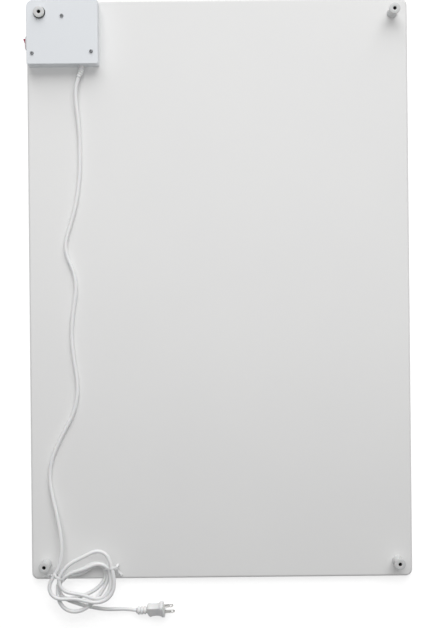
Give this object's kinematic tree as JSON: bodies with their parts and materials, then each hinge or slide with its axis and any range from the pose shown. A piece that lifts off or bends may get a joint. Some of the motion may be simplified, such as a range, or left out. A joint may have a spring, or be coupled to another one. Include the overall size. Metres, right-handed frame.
{
  "type": "infrared panel heater",
  "caption": "Flat white infrared panel heater lying on its front, with wall spacers, a control box with rocker switch, a tied mains cord and a flat-blade plug.",
  "frame": {"origin": "centre of the radiant front face, which lies face down on Z = 0", "axes": "+Z out of the back towards the wall, +Y towards the top edge in use, +X to the right seen from behind"},
  "size_m": [0.6023, 0.9759, 0.042],
  "materials": {
    "coated_board": "fine matt white coating on ceramic fibre-cement board",
    "fibre_sheet": "undyed glass-fibre sheet",
    "bond": "cured grey-white bonding compound",
    "resistance_wire": "drawn resistance wire",
    "white_plastic": "cool white moulded plastic, faint grain",
    "spacer_plastic": "white moulded plastic, satin",
    "red_plastic": "glossy crimson moulded plastic",
    "black_plastic": "black moulded plastic",
    "zinc_steel": "zinc-plated steel",
    "brass": "stamped brass",
    "spring_steel": "drawn spring steel",
    "lamp_glass": "clear glass envelope with a warm tint",
    "aluminium": "drawn aluminium cap",
    "phenolic": "dark brown phenolic moulding",
    "cord_sheath": "white flexible sheath, satin",
    "brown_core": "brown core insulation",
    "blue_core": "blue core insulation",
    "white_sleeve": "woven glass sleeve",
    "nickel": "nickel-plated brass"
  },
  "bodies": {
    "panel": {"front_board": "coated_board", "back_board": "coated_board", "element_carrier": "fibre_sheet", "bond_frame": "bond", "heating_wire": "resistance_wire", "lead_crimp_1": "nickel", "lead_crimp_2": "nickel", "spacer_top_left": "spacer_plastic", "spacer_top_right": "spacer_plastic", "spacer_bottom_left": "spacer_plastic", "spacer_bottom_right": "spacer_plastic", "box_base": "white_plastic", "base_screw_left": "zinc_steel", "base_screw_right": "zinc_steel", "box_cover": "white_plastic", "cover_screw_top": "zinc_steel", "cover_screw_left": "zinc_steel", "cover_screw_right": "zinc_steel", "switch_body": "white_plastic", "terminal_line": "brass", "terminal_load": "brass", "terminal_lamp": "brass", "terminal_block": "black_plastic", "clamp_screw_1": "brass", "clamp_screw_2": "brass", "clamp_screw_3": "brass", "clamp_screw_4": "brass", "cutout_cap": "aluminium", "cutout_body": "phenolic", "cutout_tab_1": "brass", "cutout_tab_2": "brass", "cord_bush": "white_plastic", "cord_sheath_end": "cord_sheath", "cord_clamp": "black_plastic", "clamp_bar_screw_1": "zinc_steel", "clamp_bar_screw_2": "zinc_steel", "element_lead_1": "white_sleeve", "element_lead_2": "white_sleeve", "neutral_wire": "blue_core", "live_wire": "brown_core", "cutout_wire": "brown_core", "switched_wire": "brown_core", "lamp_wire": "blue_core", "cord_run": "cord_sheath", "cord_lead": "cord_sheath", "cord_hank": "cord_sheath", "twist_tie_left": "white_plastic", "twist_tie_right": "white_plastic", "plug_body": "white_plastic", "plug_blade_upper": "nickel", "plug_blade_lower": "nickel"},
    "rocker": {"rocker": "red_plastic", "plunger": "brass", "rocker_spring": "spring_steel", "neon_lamp": "lamp_glass"},
    "seesaw": {"contact_seesaw": "brass"}
  },
  "joints": [
    {"name": "rocker_hinge", "type": "hinge", "parent": "panel", "child": "rocker", "pos_m": [-0.2955, 0.385, 0.024], "axis": [0, 0, -1], "range_deg": [0, 20]},
    {"name": "seesaw_hinge", "type": "hinge", "parent": "panel", "child": "seesaw", "pos_m": [-0.2863, 0.385, 0.024], "axis": [0, 0, -1], "range_deg": [-16, 0]}
  ],
  "couplings": [
    {"joint": "seesaw_hinge", "follows": "rocker_hinge", "ratio": -0.8}
  ]
}
